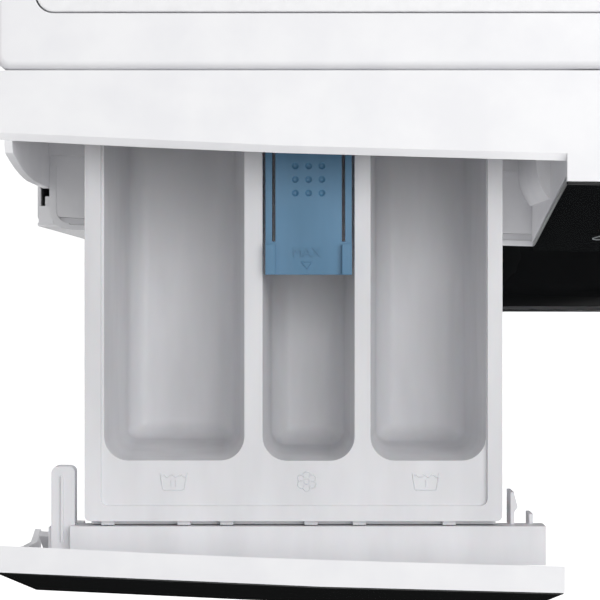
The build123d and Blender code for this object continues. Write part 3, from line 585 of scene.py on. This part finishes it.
def lettering(name, words, height_mm, thick_mm, lay, body, finish):
    """Generic lettering of a real cap height, centred on its place."""
    letters = bpy.data.curves.new(name, "FONT")
    letters.body = words
    letters.size = height_mm / 0.7 * MM
    letters.extrude = thick_mm / 2 * MM
    letters.align_x = "CENTER"
    letters.align_y = "CENTER"
    made = bpy.data.objects.new(name, letters)
    bpy.context.scene.collection.objects.link(made)
    return placed(made, lay, body, finish)


def arc(middle, radius, first, last, count=10):
    """Points along an arc, in millimetres and degrees."""
    turns = [math.radians(first + (last - first) * i / count) for i in range(count + 1)]
    return [(middle[0] + radius * math.cos(t), middle[1] + radius * math.sin(t)) for t in turns]


def washtub(bars):
    """A tub 9.6 mm wide with a waved water line and a number of bars."""
    tub = [(-4.8, 3.0), (-4.0, -2.2)] + arc((-3.0, -2.2), 1.0, 180, 270, 4) + [(3.0, -3.2)]
    tub += arc((3.0, -2.2), 1.0, -90, 0, 4) + [(4.8, 3.0)]
    wave = [(-4.5 + 0.45 * i, 1.9 + 0.45 * math.sin(i * 0.9)) for i in range(21)]
    marks = [[(x, 0.6), (x, -2.0)] for x in ([-0.8, 0.8] if bars == 2 else [0.0])]
    return [tub, wave] + marks


drawer_box_low, drawer_box_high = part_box("drawer_box")
ledge_y = drawer_box_low[1] + 15.8 * MM
ledge_z = drawer_box_high[2] - 1.8 * MM
white_pp = finish_of["drawer_plastic"]
for name, bars, across in (("main_wash_sign", 2, 34.1), ("prewash_sign", 1, 125.3)):
    lay = Matrix.Translation((drawer_box_low[0] + across * MM, ledge_y, ledge_z))
    drawn(name, washtub(bars), 0.55, lay, "drawer", white_pp)
petals = [arc((2.3 * math.cos(a), 2.3 * math.sin(a)), 1.25, math.degrees(a) - 130, math.degrees(a) + 130)
          for a in [math.radians(60 * i + 30) for i in range(6)]]
flower = petals + [arc((0, 0), 1.0, 0, 360, 16)]
lay = Matrix.Translation((drawer_box_low[0] + 82.3 * MM, ledge_y, ledge_z))
drawn("softener_sign", flower, 0.5, lay, "drawer", white_pp)
print("signs on the ledge at y", round(ledge_y, 4))

# %% Fill limit on the blue cap
cap_low, cap_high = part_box("softener_siphon_cap")
cap_x = (cap_low[0] + cap_high[0]) / 2 - 0.6 * MM
cap_top = cap_high[2] - 2.2 * MM
blue_pp = finish_of["blue_plastic"]
lay = Matrix.Translation((cap_x, cap_low[1] + 7.9 * MM, cap_top + 0.1 * MM))
lettering("fill_limit_word", "MAX", 3.4, 0.5, lay, "siphon_cap", blue_pp)
lay = Matrix.Translation((cap_x, cap_low[1] + 3.4 * MM, cap_top))
drawn("fill_limit_arrow", [[(-2.0, 1.2), (2.0, 1.2), (0.0, -1.3), (-2.0, 1.2)]], 0.5, lay, "siphon_cap",
      blue_pp)
print("fill limit at", [round(v, 4) for v in (cap_x, cap_low[1], cap_top)])

# %% [markdown]
# ## Printing on the black face
# The signs on the face are printed in grey under a clear film, so they have no height worth
# modelling: each stands a twentieth of a millimetre proud. The face leans back and is bowed in
# plan, and one function lays a flat drawing on it. The dial has twelve ticks with numbers, the
# display shows a time, and each button has its generic sign.

# %% Signs on the leaning face
face_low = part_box("control_panel_glass")[0]
face_low_y = face_low[1] / MM
face_low_z = face_low[2] / MM
bow_radius = 5500.0
face_rise = 115.0
face_run_back = 21.1
lean = math.atan(face_run_back / face_rise)
print_ink = moulded_abs("grey_screen_print", "#8f9496", "#858a8c", 0.5)


def on_panel(x, z, proud_mm=0.05):
    """The matrix that lays a drawing on the black face at a place, in millimetres."""
    turn = math.asin(x / bow_radius)
    plan = bow_radius - math.sqrt(bow_radius ** 2 - x ** 2)
    y = face_low_y + (z - face_low_z) * math.tan(lean) + plan
    out = Vector((math.sin(turn) * math.cos(lean), -math.cos(turn) * math.cos(lean), math.sin(lean)))
    spot = Vector((x, y, z)) + out * proud_mm
    return (Matrix.Translation(spot * MM) @ Matrix.Rotation(turn, 4, "Z")
            @ Matrix.Rotation(math.pi / 2 - lean, 4, "X"))


knob_x, knob_z = 20.0, 790.0
tick_inner, tick_outer, number_ring = 27.5, 30.5, 35.5
sign_z = 772.0
number_height = 3.4
ticks = []
for step in range(12):
    a = math.radians(90 - 30 * step)
    ticks.append([(radius * math.cos(a), radius * math.sin(a)) for radius in (tick_inner, tick_outer)])
    lay = on_panel(knob_x + number_ring * math.cos(a), knob_z + number_ring * math.sin(a) * math.cos(lean))
    lettering(f"dial_number_{step}", str(step), number_height, 0.1, lay, "cabinet", print_ink)
power_sign = [arc((0, 0), 2.6, 120, 420, 20), [(0, 0.6), (0, 3.2)]]
start_sign = [[(-3.2, 2.2), (-3.2, -2.2), (0.4, 0), (-3.2, 2.2)]]
start_sign += [[(x, 2.2), (x, -2.2)] for x in (2.0, 3.6)]
drop_sign = [arc((0, -0.8), 2.0, 150, 390, 14) + [(0, 3.4)] + arc((0, -0.8), 2.0, 150, 151, 1)]
for name, strokes, line_mm, x, z in (("dial_ticks", ticks, 0.5, knob_x, knob_z),
                                     ("power_sign", power_sign, 0.45, -52.0, sign_z),
                                     ("start_sign", start_sign, 0.45, 262.0, sign_z),
                                     ("water_sign", drop_sign, 0.45, -79.5, 761.0)):
    drawn(name, strokes, line_mm, on_panel(x, z, 0.0), "cabinet", print_ink)
print("lean of the face", round(math.degrees(lean), 2), "degrees")

# %% Lit display
display_x, display_z = 150.0, 789.0
digit_height = 14.0
display_glow, place = start("display_glow", "#dfe9ec", 0.4, Emission_Color=colour("#e6f3f7"),
                            Emission_Strength=1.2)
patterned(display_glow, place, gloss=((3.0, 2.0), 0.36, 0.46))
lay = on_panel(display_x, display_z)
lettering("display_time", "1:30", digit_height, 0.1, lay, "cabinet", display_glow)
clock_sign = [arc((0, 0), 3.0, 0, 360, 20), [(0, 0), (0, 2.0)], [(0, 0), (1.4, 0)]]
for index, offset in enumerate((-40.0, 40.0)):
    drawn(f"display_sign_{index}", clock_sign, 0.4, on_panel(display_x + offset, display_z, 0.0), "cabinet",
          display_glow)
print("display lettering is", digit_height, "mm high")

# %% [markdown]
# ## Dial
# The dial is a silver moulding that fingers grip: a low drum whose side is fluted all round, with
# a chamfered face and a painted line that points at the number. It is built from a cylinder with
# one side face per flute. Every second side face is inset and pushed in, the face is inset and
# raised, and all edges are rounded.

# %% Fluted dial
def faces_where(piece, test):
    """Selects the faces whose centre and normal pass a test, in edit mode."""
    bpy.ops.object.mode_set(mode="EDIT")
    bpy.ops.mesh.select_mode(type="FACE")
    bpy.ops.mesh.select_all(action="DESELECT")
    bpy.ops.object.mode_set(mode="OBJECT")
    for face in piece.data.polygons:
        face.select = bool(test(face.index, face.center, face.normal))
    bpy.ops.object.mode_set(mode="EDIT")


bpy.ops.object.select_all(action="DESELECT")
flutes = 36
dial_radius = 24.0 * MM
dial_depth = 19.4 * MM
flute_turn = 360 / (2 * flutes)
bpy.ops.mesh.primitive_cylinder_add(vertices=2 * flutes, radius=dial_radius, depth=dial_depth)
dial = bpy.context.object
dial.name = "fluted_dial"
faces_where(dial, lambda i, c, n: abs(n.z) < 0.5
            and int(round(math.degrees(math.atan2(c.y, c.x)) / flute_turn - 0.5)) % 2)
bpy.ops.mesh.inset(thickness=0.35 * MM, depth=-0.7 * MM, use_individual=True)
faces_where(dial, lambda i, c, n: n.z > 0.9)
bpy.ops.mesh.inset(thickness=1.6 * MM)
bpy.ops.transform.translate(value=(0, 0, 0.6 * MM))
bpy.ops.mesh.inset(thickness=4.0 * MM)
bpy.ops.transform.translate(value=(0, 0, -0.8 * MM))
faces_where(dial, lambda i, c, n: n.z < -0.9)
bpy.ops.mesh.inset(thickness=21.0 * MM)
bpy.ops.mesh.extrude_region_move(TRANSFORM_OT_translate={"value": (0, 0, -12.0 * MM)})
bpy.ops.object.mode_set(mode="OBJECT")
edge = dial.modifiers.new("edge", "BEVEL")
edge.width = 0.22 * MM
edge.segments = 2
edge.limit_method = "ANGLE"
bpy.ops.object.modifier_apply(modifier="edge")
bpy.ops.object.shade_smooth_by_angle(angle=math.radians(35))
dial.matrix_world = on_panel(knob_x, knob_z, 10.3)
bpy.ops.object.transform_apply(location=True, rotation=True, scale=True)
dial.data.materials.append(finish_of["knob_satin"])
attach(dial, "knob")
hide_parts("program_knob")
pointer = [[(0, 13.0), (0, 21.0)]]
drawn("dial_pointer", pointer, 0.9, on_panel(knob_x, knob_z, 19.6), "knob",
      finish_of["black_abs"])
print("dial faces:", len(dial.data.polygons))

# %% Clear the selection
bpy.ops.object.select_all(action="DESELECT")
